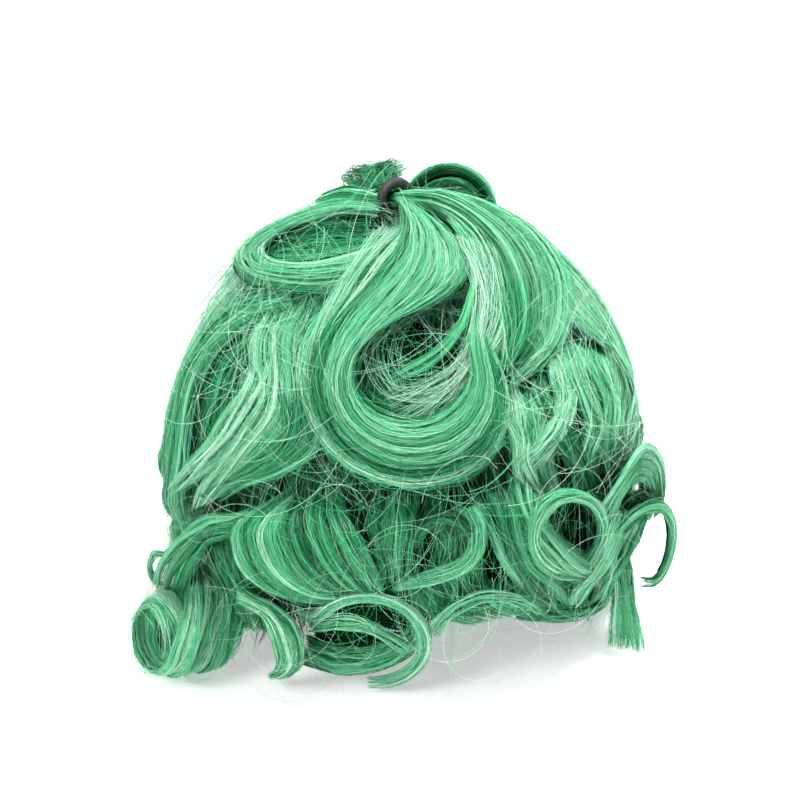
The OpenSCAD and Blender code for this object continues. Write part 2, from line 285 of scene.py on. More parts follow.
def band(place, a, b, count, depth=2.5, arch=0.0, points=18, clumps=10, hold=0.6, sway=1.2, frizz=0.35,
         cross=0.03, cycles=1.2, ends=(0.06, 0.15), thick=(0.1, 0.16), tone=(0.3, 0.95), scale=(1, 1, 1),
         trim=(0, 0), inset=0.0):
    """Fibres between two edge curves, in rounded locks side by side; thick ones make one even layer."""
    layer = thick[0] > LAYER_R
    n = max(3, round(count * DENSITY * (1 if layer else FINER)))
    points = round(points * STEPS)
    first = trim[0] + rng.random(n) * ends[0]
    final = 1 - trim[1] - rng.random(n) ** 1.6 * ends[1]
    step = np.linspace(0, 1, points)[None]
    t = first[:, None] + (final - first)[:, None] * step
    lock_q = (np.arange(clumps) + rng.uniform(0.2, 0.8, clumps)) / clumps
    lock_half = rng.uniform(0.5, 1.05, clumps) / clumps
    lock_w = rng.uniform(-0.6, 0.6, clumps)
    mine = rng.integers(0, clumps, n)
    around_lock = rng.uniform(0, math.pi, n)
    fill = np.sqrt(rng.uniform(0.2, 1, n))
    u, w = np.cos(around_lock) * fill, np.sin(around_lock) * fill
    free = rng.random(n) < (1 if layer else 0.22)
    q_mid = np.where(free, rng.random(n), lock_q[mine])
    q_half = np.where(free, 0.0, lock_half[mine])
    w_mid = np.where(free, rng.uniform(-0.5, 0.3, n), lock_w[mine])
    taper = 1 - hold * (0.3 * (1 - t) ** 3 + 0.8 * t ** 3)
    shared = np.linspace(0, 1, 64)[None].repeat(clumps, 0)
    index = np.clip((t * 63).astype(int), 0, 62)
    part = t * 63 - index

    def lock_wave():
        waves = ripple(clumps, shared, cycles)
        return waves[mine[:, None], index] * (1 - part) + waves[mine[:, None], index + 1] * part

    loose = cross * np.where(free, 1.2, 0.35)[:, None]
    q = q_mid[:, None] + u[:, None] * q_half[:, None] * taper + loose * ripple(n, t, cycles)
    q = q + 0.25 / clumps * lock_wave()
    q = inset + q * (1 - 2 * inset)
    past = np.maximum(np.abs(q - 0.5) - 0.5, 0)
    q = np.where(past > 0, 0.5 + np.sign(q - 0.5) * (0.5 + 0.1 * np.tanh(past * 10)), q)
    p = spline(a, t) * (1 - q[..., None]) + spline(b, t) * q[..., None]
    for axis, share in ((0, 1.0), (1, 0.5), (2, 0.6)):
        waves = lock_wave() * sway * share * 0.6 + ripple(n, t, cycles * 1.8) * frizz * 0.6
        p[..., axis] += waves * scale[axis]
    p[..., 2] += (w_mid[:, None] + w[:, None] * taper) * depth + arch * 4 * q * (1 - q)
    slim = 0.45 + 0.55 * np.sin(np.pi * np.clip(step * 0.94 + 0.06, 0, 1)) ** 0.4
    radius = rng.uniform(*thick, (n, 1)) * slim
    lock_tone = rng.uniform(tone[0] + 0.1, max(tone[1] - 0.08, tone[0] + 0.11), clumps)
    # Fibres lower in a lock are darkened by up to 0.2: painted shade.
    shade = np.where(free, lock_tone.mean(), lock_tone[mine]) + rng.normal(0, 0.07, n) - 0.2 * (1 - w)
    return place(p), radius, np.clip(shade, 0.02, 0.98)


def strays(place, low, high, count, length=(40, 130), bend=(0.003, 0.016), points=18, thick=(0.05, 0.08)):
    """Single fibres that lie across the others: plain arcs over a surface, each its own way."""
    n = max(3, round(count * DENSITY))
    start = rng.uniform(low, high, (n, 3))
    run = rng.uniform(*length, (n, 1)) * np.linspace(0, 1, points)
    curve = rng.uniform(*bend, (n, 1)) * rng.choice([-1, 1], (n, 1))
    curl_up = rng.uniform(0.1, 0.8, (n, 1)) * curve / run[:, -1:]
    heading = rng.uniform(0, TURN, (n, 1)) + curve * run + curl_up * run ** 2
    step = np.diff(run, axis=1, prepend=0)
    x = start[:, :1] + np.cumsum(np.cos(heading) * step, 1)
    v = start[:, 1:2] + np.cumsum(np.sin(heading) * step, 1)
    h = start[:, 2:] + ripple(n, np.linspace(0, 1, points)[None], 0.5) * 3
    radius = rng.uniform(*thick, (n, 1)) * np.ones((1, points))
    # Pale tones: painted highlight on the loose fibres.
    return place(np.stack([x, v, h], -1)), radius, rng.uniform(0.55, 0.95, n)


def fibre_mesh(name, bands):
    """One mesh of three-sided fibres; its UV runs along each fibre, and across by the fibre's tone, painted
    shade included.
    """
    verts, quads, uvs, kinds = [], [], [], []
    base = 0
    for points, radius, shade in bands:
        points = points * 0.001
        points[..., 2] = np.maximum(points[..., 2], 0.001)
        radius = radius * 0.001
        n, m, _ = points.shape
        ahead = np.gradient(points, axis=1)
        ahead /= np.linalg.norm(ahead, axis=2, keepdims=True) + 1e-12
        side = np.cross(ahead[:, 0], rng.normal(size=(n, 3)))
        rows = []
        for i in range(m):
            side = side - (side * ahead[:, i]).sum(1, keepdims=True) * ahead[:, i]
            side /= np.linalg.norm(side, axis=1, keepdims=True) + 1e-12
            rows.append(side)
        side = np.stack(rows, 1)
        up = np.cross(ahead, side)
        ring = [points + radius[..., None] * (math.cos(TURN * k / 3) * side + math.sin(TURN * k / 3) * up)
                for k in range(3)]
        verts.append(np.stack(ring, 2).reshape(-1, 3))
        start = base + (np.arange(n)[:, None] * m + np.arange(m - 1)[None]) * 3
        u = np.linspace(0.001, 0.999, m)
        for k in range(3):
            j = (k + 1) % 3
            quads.append(np.stack([start + k, start + j, start + 3 + j, start + 3 + k], -1).reshape(-1, 4))
            kinds.append(np.full(quads[-1].shape[0], int(radius.mean() > UNDER_R * 0.001), np.int32))
            u0 = np.broadcast_to(u[None, :-1], (n, m - 1))
            u1 = np.broadcast_to(u[None, 1:], (n, m - 1))
            v = np.broadcast_to(shade[:, None], (n, m - 1))
            uvs.append(np.stack([u0, v, u0, v, u1, v, u1, v], -1).reshape(-1, 2))
        base += n * m * 3
    verts = np.concatenate(verts)
    quads = np.concatenate(quads)
    mesh = bpy.data.meshes.new(name)
    mesh.vertices.add(len(verts))
    mesh.vertices.foreach_set("co", verts.ravel().astype(np.float32))
    mesh.loops.add(quads.size)
    mesh.loops.foreach_set("vertex_index", quads.ravel().astype(np.int32))
    mesh.polygons.add(len(quads))
    mesh.polygons.foreach_set("loop_start", np.arange(0, quads.size, 4, dtype=np.int32))
    mesh.polygons.foreach_set("use_smooth", np.ones(len(quads), bool))
    mesh.polygons.foreach_set("material_index", np.concatenate(kinds))
    layer = mesh.uv_layers.new(name="OFBake")
    layer.data.foreach_set("uv", np.concatenate(uvs).ravel().astype(np.float32))
    mesh.update()
    mesh.validate()
    return mesh


def colour_ramp(tree, stops):
    node = tree.nodes.new("ShaderNodeValToRGB")
    elements = node.color_ramp.elements
    while len(elements) < len(stops):
        elements.new(0.5)
    for element, (at, colour) in zip(elements, stops):
        element.position = at
        element.color = (*colour, 1)
    return node


def hair_material(name, roughness, specular):
    """Synthetic fibre: its tone is fixed for each fibre, and drifts a little along it."""
    material, tree, shader = principled(name)
    uv = tree.nodes.new("ShaderNodeUVMap")
    uv.uv_map = "OFBake"
    split = tree.nodes.new("ShaderNodeSeparateXYZ")
    tree.links.new(uv.outputs["UV"], split.inputs[0])
    stretch = tree.nodes.new("ShaderNodeMapping")
    stretch.inputs["Scale"].default_value = (5, 60, 1)
    tree.links.new(uv.outputs["UV"], stretch.inputs["Vector"])
    noise = tree.nodes.new("ShaderNodeTexNoise")
    noise.inputs["Scale"].default_value = 1
    noise.inputs["Detail"].default_value = 2
    tree.links.new(stretch.outputs["Vector"], noise.inputs["Vector"])
    drift = tree.nodes.new("ShaderNodeMath")
    drift.operation = "MULTIPLY_ADD"
    drift.inputs[1].default_value = 0.24
    drift.inputs[2].default_value = -0.12
    tree.links.new(noise.outputs["Fac"], drift.inputs[0])
    add = tree.nodes.new("ShaderNodeMath")
    add.operation = "ADD"
    tree.links.new(split.outputs["Y"], add.inputs[0])
    tree.links.new(drift.outputs[0], add.inputs[1])
    # Painted light: the near-black low end serves the under layers of painted shade, and the pale top end is
    # a painted highlight.
    ramp = colour_ramp(tree, [(0.0, (0.0005, 0.012, 0.004)), (0.2, (0.001, 0.06, 0.016)),
                              (0.5, (0.018, 0.3, 0.108)), (0.75, (0.15, 0.62, 0.33)),
                              (1.0, (0.82, 0.97, 0.87))])
    tree.links.new(add.outputs[0], ramp.inputs["Fac"])
    tree.links.new(ramp.outputs["Color"], shader.inputs["Base Color"])
    shader.inputs["Roughness"].default_value = roughness
    shader.inputs["Specular IOR Level"].default_value = specular
    return material


def cap_material(name, dark, light, roughness, waves, bump):
    """Thread, weave, ribs or grain: bands in these directions at these pitches, over a fine mottle."""
    material, tree, shader = principled(name)
    place = tree.nodes.new("ShaderNodeTexCoord")
    mottle = tree.nodes.new("ShaderNodeTexNoise")
    mottle.inputs["Scale"].default_value = 900
    mottle.inputs["Detail"].default_value = 3
    tree.links.new(place.outputs["Object"], mottle.inputs["Vector"])
    height = mottle.outputs["Fac"]
    for direction, pitch in waves:
        wave = tree.nodes.new("ShaderNodeTexWave")
        wave.bands_direction = direction
        wave.inputs["Scale"].default_value = 314 / pitch
        wave.inputs["Distortion"].default_value = 0.6
        tree.links.new(place.outputs["Object"], wave.inputs["Vector"])
        mix = tree.nodes.new("ShaderNodeMath")
        mix.operation = "MULTIPLY_ADD"
        mix.inputs[1].default_value = 0.6
        tree.links.new(wave.outputs["Fac"], mix.inputs[0])
        tree.links.new(height, mix.inputs[2])
        height = mix.outputs[0]
    ramp = colour_ramp(tree, [(0.25, dark), (0.4 + 0.6 * len(waves), light)])
    tree.links.new(height, ramp.inputs["Fac"])
    tree.links.new(ramp.outputs["Color"], shader.inputs["Base Color"])
    relief = tree.nodes.new("ShaderNodeBump")
    relief.inputs["Strength"].default_value = bump
    relief.inputs["Distance"].default_value = 0.0003
    tree.links.new(height, relief.inputs["Height"])
    tree.links.new(relief.outputs["Normal"], shader.inputs["Normal"])
    shader.inputs["Roughness"].default_value = roughness
    return material


def dress_cap():
    """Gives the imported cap, straps and tie the material of each one's slot."""
    made = {
        "weft_stitching": cap_material("stitched_thread", (0.02, 0.14, 0.07), (0.12, 0.42, 0.25), 0.7,
                                       [("X", 0.9), ("Z", 0.7)], 0.8),
        "cap_net": cap_material("rose_net", (0.01, 0.07, 0.035), (0.06, 0.24, 0.14), 0.8,
                                [("DIAGONAL", 0.5), ("Z", 0.5)], 0.7),
        "front_tape": cap_material("soft_tape", (0.16, 0.34, 0.24), (0.4, 0.6, 0.48), 0.9,
                                   [("DIAGONAL", 0.6), ("X", 0.6)], 0.6),
        "cap_tape": cap_material("woven_tape", (0.01, 0.015, 0.015), (0.06, 0.075, 0.07), 0.8,
                                 [("X", 0.7), ("Y", 0.7)], 0.8),
        "elastic": cap_material("ribbed_elastic", (0.008, 0.008, 0.008), (0.07, 0.07, 0.07), 0.75,
                                [("Z", 1.2)], 1.0),
        "tie_elastic": cap_material("wound_thread", (0.003, 0.003, 0.003), (0.035, 0.03, 0.028), 0.6,
                                    [("DIAGONAL", 0.8)], 1.0),
        "hook_plastic": cap_material("moulded_black", (0.02, 0.02, 0.02), (0.07, 0.07, 0.07), 0.45, [], 0.3),
        "stay_plastic": cap_material("clear_strip", (0.6, 0.6, 0.57), (0.8, 0.8, 0.76), 0.35, [("Z", 2.0)],
                                     0.2),
    }
    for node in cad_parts.values():
        for slot in node.material_slots:
            if slot.material and slot.material.name in made:
                slot.material = made[slot.material.name]


HAIR = [hair_material("hair_fibre", 0.3, 0.45), hair_material("hair_under", 0.8, 0.0)]
FACES_MAX = 95000


def hair_piece(name, bands, body, nodes=(), bend=None):
    """Makes the bands into pieces that ride on a body, or stay fixed with no body when bend is given; hides
    these CAD nodes.
    """
    groups, size = [[]], 0
    parts = []
    for item in bands:
        most = FACES_MAX // ((item[0].shape[1] - 1) * 3)
        parts += [[array[i:i + most] for array in item] for i in range(0, len(item[0]), most)]
    for item in parts:
        faces = item[0].shape[0] * (item[0].shape[1] - 1) * 3
        if size + faces > FACES_MAX and groups[-1]:
            groups.append([])
            size = 0
        groups[-1].append(item)
        size += faces
    for i, group in enumerate(groups):
        mesh = fibre_mesh(f"{name}_{i + 1}" if i else name, group)
        piece = bpy.data.objects.new(mesh.name, mesh)
        bpy.context.scene.collection.objects.link(piece)
        for material in HAIR:
            mesh.materials.append(material)
        if bend:
            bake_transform(piece)
        else:
            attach(piece, body)
        if i == 0 and nodes:
            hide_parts(*nodes)


# ---------------------------------------------------------------- the crown and the hanging hair

# Painted shade: thick near-black fibres laid under the locks, so only shade shows in the gaps between them.
PAINTED_SHADE = dict(thick=(0.55, 0.8), tone=(0.06, 0.2), frizz=0.2, sway=0.6, clumps=8, ends=(0.15, 0.2),
            trim=(0.05, 0.12))
# Strays: thin fibres over the locks; their pale tone is a painted highlight.
STRAY = dict(thick=(0.06, 0.09), tone=(0.6, 0.92), frizz=5, sway=2, cross=0.7, cycles=0.35, clumps=30,
             hold=0.1)


def gathered(count, low, high, height, wide=1.0, brow=36, points=13, sway=1.4, thick=(0.1, 0.17),
             tone=(0.4, 0.9)):
    """Hair combed up from round the dome to the tie: low and high are latitudes it starts from."""
    n = max(3, round(count * DENSITY))
    clumps = 64
    mine = rng.integers(0, clumps, n)
    lean = rng.uniform(-0.4, 0.4, clumps)[mine]
    around_lock = rng.uniform(0, math.pi, n)
    az = (mine + 0.5 + lean + wide * np.cos(around_lock)) * 360 / clumps % 360
    at_brow = np.clip((44 - np.abs(az - 90)) / 6, 0, 1)
    lat = rng.uniform(low, high, n)
    lat = np.where(at_brow > 0, np.maximum(lat, brow + 9 * rng.random(n) ** 2), lat)
    lat = np.minimum(lat, 72)
    r = (HAIR_R - 25 * at_brow) * np.cos(np.radians(lat))
    start = np.stack([r * np.cos(np.radians(az)), r * np.sin(np.radians(az))], -1)
    base = np.array([-16.0, 10.0])
    to_base = base - start
    far = np.linalg.norm(to_base, axis=1, keepdims=True)
    away = -to_base / far
    swirl = np.stack([-away[:, 1], away[:, 0]], -1)
    lift = rng.uniform(*height, n) + 1.6 * np.sin(around_lock) + rng.uniform(-1, 1, clumps)[mine]
    sunk = [25 * at_brow, 9 * at_brow, 0, 0]
    plan = [start, start + to_base * 0.3 + swirl * 3, start + to_base * 0.62 + swirl * 4,
            base + away * 22 + swirl * 3]
    path = [on_crown(np.concatenate([p, (lift - low_by)[:, None]], 1)) for p, low_by in zip(plan, sunk)]
    drawn = TIE - TIE_DIR * 11
    ring = np.concatenate([away, np.zeros((n, 1))], 1)
    path.append(np.array([*base, 214.0]) + ring * 9)
    path.append(drawn + ring * 5 + np.array([0, 0, 1.0]))
    path.append(TIE + ring * 3)
    stack = np.stack(path, 0)
    t = np.linspace(0, 1, points)
    curve = np.stack([spline(stack[:, i], t) for i in range(n)])
    waves = ripple(clumps, t[None].repeat(clumps, 0), 1.5)[mine] * sway
    fade = np.sin(np.pi * t) ** 0.7
    tangent = np.concatenate([swirl, np.zeros((n, 1))], 1)[:, None]
    curve = curve + tangent * (waves * fade)[..., None] + rng.normal(0, 0.25, (n, 1, 3))
    radius = rng.uniform(*thick, (n, 1)) * np.ones((1, points))
    shade = rng.uniform(*tone, clumps)[mine] + rng.normal(0, 0.1, n)
    return curve, radius, np.clip(shade, 0.02, 0.98)


def make_crown():
    # The first band is a near-black under layer of painted shade; the last is thin pale fibres whose paleness
    # is a painted highlight.
    bands = [gathered(1500, 14, 50, (-5, -3), thick=(0.8, 1.2), tone=(0.06, 0.2), points=12, brow=46,
                      wide=1.5),
             gathered(2400, 30, 62, (-1, 3)),
             gathered(2600, 12, 50, (0, 4)),
             gathered(500, 12, 60, (4, 9), thick=(0.08, 0.12), sway=7, tone=(0.7, 0.98))]
    hair_piece("crown_fibres", bands, "wig", ["crown_hair", "gathered_hair", "front_hair"])


PANELS = {"temple_lock_right": (20, 50), "side_hair_right": (-30, 20), "back_hair_right": (-84, -30),
          "back_hair_left": (210, 276), "side_hair_left": (160, 210), "temple_lock_left": (130, 160)}


def lock_row(az_from, az_to, s_from, s_to, spread, count, fibres, width, height, curly=1.0, **look):
    """Tapered locks that hang side by side, each with its own wave."""
    bands = []
    for i in range(count):
        az = az_from + (az_to - az_from) * (i + rng.uniform(0.2, 0.8)) / count
        s0 = s_from + rng.uniform(-spread, spread)
        s1 = s_to + rng.uniform(-spread, spread)
        h = rng.uniform(*height)
        lean = rng.normal(0, 4)
        wave = rng.uniform(2, 5) * rng.choice([-1, 1]) * curly
        half = width / 2 / 2.0
        t = np.linspace(0, 1, 8)
        turn = TURN * (t * rng.uniform(1.0, 1.5) + rng.random())
        mid = np.stack([az + lean * t + wave * np.sin(turn) * t,
                        s0 + (s1 - s0) * t, h + 3 * np.sin(np.pi * t) + 2 * curly * np.cos(turn) * t], -1)
        narrow = np.interp(t, [0, 0.3, 0.7, 1], [1.2, 1.2, 0.8, 0.25])[:, None] * [[half, 0, 0]]
        bands.append(band(on_panel, mid - narrow, mid + narrow, fibres, clumps=2, scale=(0.5, 1, 1),
                          ends=(0.1, 0.3), points=14, **look))
    return bands


def make_panel(name, az_from, az_to):
    wide = az_to - az_from
    low = 282 if name != "back_hair_right" else 240
    tail_side = name.startswith("back")
    sunk = np.array([[60, -3], [120, -2], [180, -3], [215, -9], [low - 14, -9]], float)
    edges = [np.insert(sunk, 0, az, axis=1) for az in (az_from - 2, az_to + 2)]
    # The first band is a near-black under layer of painted shade.
    bands = [band(on_panel, *edges, wide * 9, scale=(0.5, 1, 1), depth=2.5, points=16,
                  **dict(PAINTED_SHADE, ends=(0.1, 0.1)))]
    columns = round(wide / 5.5)
    reach = low - 25
    # The lowest row lies under the others and is darker: painted shade; on the tail side, under the mantle's
    # locks, it is darker still.
    deep = (0.02, 0.3) if tail_side else (0.15, 0.6)
    bands += lock_row(az_from, az_to, 125, reach, 20, columns, 50, 17, (-6, 0), depth=3.2, sway=2.5,
                      tone=deep, curly=1.8)
    if not tail_side:
        bands += lock_row(az_from, az_to, 95, 228, 22, columns, 60, 17, (0, 4), depth=3.2, sway=2.2,
                          tone=(0.3, 0.9), curly=1.5)
        bands += lock_row(az_from, az_to, 195, low - 10, 12, columns, 70, 15, (-1, 5), depth=3.2, sway=2.5,
                          tone=(0.3, 0.9), curly=2.6)
    # On the tail side the outer row is darker too: painted shade under the mantle's locks.
    outer = (0.1, 0.55) if tail_side else (0.35, 0.95)
    bands += lock_row(az_from, az_to, 62, 195, 26, columns, 60, 17, (1, 4), depth=3, sway=1.8, tone=outer)
    top = ([[az_from, 70, 5], [az_from, 140, 7], [az_from, 210, 8], [az_from, low - 20, 6]],
           [[az_to, 70, 5], [az_to, 140, 7], [az_to, 210, 8], [az_to, low - 20, 6]])
    stray = dict(STRAY, ends=(0.6, 0.6), scale=(0.5, 1, 1))
    bands.append(band(on_panel, *top, wide * 2, depth=5, points=18, **stray))
    hair_piece(name + "_fibres", bands, "wig", [name])


def flow(place, edges, count, under=0.25, **look):
    """A lock between two given edges, near-black fibres of painted shade under it, pale strays over it as
    painted highlight.
    """
    a, b = (np.asarray(e, float) for e in edges)
    sunk = np.array([0, 0, 2.5])
    shift = rng.uniform(-0.1, 0.08)
    low, high = look.get("tone", (0.35, 0.95))
    look = dict(look, tone=(max(low + shift, 0.05), min(high + shift, 0.98)))
    stray = dict(STRAY, ends=(0.4, 0.4), cross=0.25)
    # Under the lock: near-black fibres of painted shade; over it: pale strays, a painted highlight.
    return [band(place, a - sunk, b - sunk, count * under, depth=1.5, points=14, inset=0.15,
                 **dict(PAINTED_SHADE, tone=(0.04, 0.2), trim=(0.1, 0.2))),
            band(place, a, b, count, **look),
            band(place, a + sunk, b + sunk, count * 0.03, depth=3, points=18, **stray)]


def make_left_mantle():
    """The hanging hair that shows left of the tail: a rim, a pocket inside it, and locks over both."""
    rim = [(-55, 62, 7), (-78, 57, 7), (-92, 46, 7), (-103, 32, 7), (-111, 18, 7), (-114, 2, 7),
           (-116, -14, 8), (-119, -30, 10), (-121, -44, 12), (-112, -52, 14)]
    inner_rim = [(-50, 50, 6), (-66, 47, 6), (-80, 40, 6), (-92, 28, 5), (-99, 14, 5), (-103, 0, 6),
                 (-105, -16, 8), (-106, -30, 10), (-106, -42, 12), (-104, -52, 14)]
    pocket_a = [(-66, 46, 3), (-82, 34, 2), (-94, 20, 2), (-97, 6, 3), (-98, -10, 6)]
    pocket_b = [(-56, 46, 3), (-68, 34, 2), (-78, 20, 2), (-82, 4, 4), (-88, -12, 6)]
    lock_a = [(-66, 50, 6), (-72, 38, 8), (-72, 26, 9), (-69, 16, 9), (-70, 6, 9), (-77, -6, 9),
              (-88, -20, 10), (-98, -34, 11), (-103, -46, 12)]
    lock_b = [(-38, 56, 4), (-44, 42, 6), (-47, 28, 7), (-46, 14, 8), (-47, 2, 8), (-52, -9, 9),
              (-60, -19, 10), (-73, -29, 11), (-88, -39, 12)]
    low_a = [(-58, 20, 8), (-57, 8, 10), (-59, -3, 11), (-67, -13, 12), (-79, -23, 12), (-92, -32, 12),
             (-100, -38, 12)]
    low_b = [(-40, 14, 8), (-38, 0, 9), (-38, -12, 9), (-46, -22, 9), (-60, -29, 9), (-76, -34, 9),
             (-88, -40, 10)]
    lash_a = [(-72, 30, 9), (-76, 16, 10), (-84, 2, 10), (-95, -12, 11), (-108, -25, 12), (-116, -34, 13)]
    lash_b = [(-58, 26, 9), (-62, 10, 10), (-70, -4, 10), (-82, -17, 11), (-97, -30, 12), (-112, -40, 13)]
    look = dict(points=24, depth=3, arch=3, ends=(0.15, 0.3), sway=2.2, cross=0.06)
    bands = flow(on_dome, (rim, inner_rim), 520, clumps=9, tone=(0.45, 0.95), **look)
    bands += flow(on_dome, (pocket_a, pocket_b), 240, clumps=10, hold=0.8, tone=(0.2, 0.8), **look)
    bands += flow(on_dome, (lock_a, lock_b), 620, clumps=9, tone=(0.5, 0.98), **look)
    bands += flow(on_dome, (lash_a, lash_b), 260, clumps=6, tone=(0.55, 0.98), **look)
    bands += flow(on_dome, (low_a, low_b), 420, clumps=7, tone=(0.45, 0.95), **look)
    hair_piece("left_mantle_fibres", bands, "wig")


def make_right_mantle():
    """The hanging hair right of the tail: a smooth upper sheet, and waved locks that come from under it."""
    edge = [(30, 106, 2), (60, 97, 9), (83, 84, 8), (102, 63, 8), (114, 40, 8), (119, 24, 8), (118, 8, 8),
            (113, -10, 7), (110, -28, 5)]
    patch = [(30, 92, 2), (54, 84, 7), (70, 70, 7), (84, 54, 8), (96, 40, 8), (103, 26, 8), (104, 10, 7),
             (101, -10, 6), (98, -28, 4)]
    smooth_a = [(40, 84, 5), (56, 78, 6), (74, 66, 8), (92, 48, 9), (106, 35, 9)]
    smooth_b = [(52, 62, 5), (66, 56, 6), (80, 48, 8), (92, 40, 9), (104, 32, 9)]
    bands = flow(on_dome, (edge, patch), 620, clumps=8, tone=(0.6, 0.98), points=24, depth=2.5, arch=2,
                 ends=(0.1, 0.3), sway=1.2)
    bands += flow(on_dome, (smooth_a, smooth_b), 420, clumps=6, tone=(0.65, 0.98), points=20, depth=1.5,
                  arch=3, ends=(0.1, 0.12), sway=0.8)
    for outer, inner, tone in (
            ([(44, 16, -3), (47, 0, 6), (51, -14, 9), (56, -30, 6), (62, -42, 2)],
             [(66, 20, -3), (68, 2, 7), (70, -12, 9), (74, -28, 6), (80, -40, 2)], (0.35, 0.9)),
            ([(60, 24, -3), (63, 6, 7), (70, -8, 10), (79, -22, 9), (84, -38, 3)],
             [(80, 28, -3), (80, 8, 7), (83, -8, 10), (93, -22, 8), (100, -36, 3)], (0.25, 0.85)),
            ([(72, 40, -3), (77, 22, 7), (85, 6, 10), (87, -8, 10), (80, -24, 6)],
             [(88, 42, -3), (91, 24, 7), (95, 8, 10), (98, -6, 10), (95, -26, 5)], (0.7, 0.98)),
            ([(84, 40, -3), (89, 24, 8), (96, 8, 11), (96, -8, 10), (98, -26, 5)],
             [(100, 40, -3), (104, 24, 8), (107, 8, 10), (108, -8, 10), (111, -28, 5)], (0.65, 0.98)),
            ([(98, 44, 2), (106, 28, 9), (111, 12, 11), (110, -4, 11), (106, -20, 9)],
             [(108, 42, 2), (114, 28, 9), (118, 12, 10), (118, -6, 10), (118, -24, 8)], (0.7, 0.98)),
            ([(66, 34, 2), (71, 20, 8), (72, 6, 11), (64, -8, 12), (52, -20, 10)],
             [(76, 34, 2), (82, 20, 8), (82, 4, 11), (74, -12, 12), (60, -28, 9)], (0.6, 0.98))):
        bands += flow(on_dome, (outer, inner), 340, clumps=6, tone=tone, points=26, depth=3,
                      ends=(0.15, 0.35), sway=2.4, cross=0.06, arch=3)
    hair_piece("right_mantle_fibres", bands, "wig")


# ---------------------------------------------------------------- the tail and what stands round the tie

def make_tail_sweep():
    sweep_in = [(-3, 105, 12), (1, 103, 20), (13, 99, 20), (27, 89, 18), (33, 76, 16), (36, 62, 15),
                (38, 48, 14), (41, 37, 12), (44, 26, 8)]
    sweep_out = [(-3, 110, 12), (2, 109, 20), (21, 111, 19), (40, 103, 16), (56, 91, 14), (65, 75, 13),
                 (68, 57, 12), (64, 38, 10), (50, 20, 6)]
    veil_out = [(-3, 110, 12), (10, 111, 20), (40, 108, 15), (66, 97, 12), (80, 81, 11), (85, 64, 11),
                (82, 45, 10), (72, 28, 9), (52, 14, 7)]
    # The first band is a near-black under layer of painted shade.
    bands = [band(on_dome, sweep_in, sweep_out, 500, depth=2, arch=3, points=20,
                  **dict(PAINTED_SHADE, tone=(0.1, 0.3)))]
    bands += [band(on_dome, sweep_in, sweep_out, 1300, depth=4, arch=6, points=24, clumps=14,
                   ends=(0.02, 0.2), sway=1.5),
              band(on_dome, sweep_out, veil_out, 420, depth=3, arch=2, points=24, clumps=10,
                   ends=(0.02, 0.25), tone=(0.5, 0.98))]
    hair_piece("tail_sweep_fibres", bands, "tail", ["tail_sweep"])


# Edges of the lock that goes down from the tie, round, and up into the hollow
SWIRL_OUT = [(-2, 106, 12), (0, 102, 20), (-1, 90, 20), (-9, 76, 15), (-24, 65, 11), (-38, 52, 9),
             (-47, 36, 9), (-49, 18, 9), (-45, 2, 9), (-35, -14, 9), (-18, -26, 9), (4, -32, 9),
             (27, -28, 9), (42, -16, 9), (49, 0, 9), (48, 17, 10), (43, 32, 11), (40, 46, 8), (38, 58, 5)]
SWIRL_IN = [(-1, 106, 12), (3, 103, 20), (15, 95, 22), (26, 84, 22), (31, 70, 22), (26, 60, 22),
            (14, 53, 22), (0, 48, 20), (-13, 42, 16), (-21, 31, 13), (-22, 18, 12), (-15, 7, 12),
            (-1, 1, 12), (15, 3, 12), (26, 12, 12), (30, 22, 14), (29, 34, 14), (31, 46, 9), (33, 56, 5)]


def make_tail_swirl():
    # Near-black fibres under the swirl: painted shade.
    under = dict(PAINTED_SHADE, tone=(0.08, 0.22))
    bands = [band(on_dome, SWIRL_OUT, SWIRL_IN, 700, depth=3, arch=3, points=30, **under),
             band(on_dome, SWIRL_OUT, SWIRL_IN, 1150, depth=5, arch=9, points=36, clumps=18, ends=(0.02, 0.3),
                  sway=1.8, cross=0.05)]
    hair_piece("tail_swirl_fibres", bands, "tail", ["tail_swirl"])


def make_tail_bundle():
    bands = [band(on_dome, SWIRL_OUT, SWIRL_IN, 900, depth=4, arch=12, points=34, clumps=14, hold=0.75,
                  ends=(0.02, 0.3), sway=2, cross=0.08, tone=(0.45, 0.98)),
             band(on_dome, SWIRL_OUT[:10], SWIRL_IN[:10], 60, depth=8, arch=14, points=34, **STRAY)]
    thread_a = [(20, 96, 22), (29, 84, 24), (33, 70, 24), (30, 56, 24), (24, 42, 21), (12, 30, 17),
                (-6, 22, 14)]
    thread_b = [(24, 95, 22), (32, 83, 24), (36, 69, 24), (33, 54, 24), (27, 39, 21), (14, 25, 17),
                (-4, 15, 14)]
    bands += [band(on_dome, thread_a, thread_b, 90, depth=2, points=24, clumps=3, tone=(0.5, 0.95))]
    hair_piece("tail_bundle_fibres", bands, "tail", ["tail_bundle"])


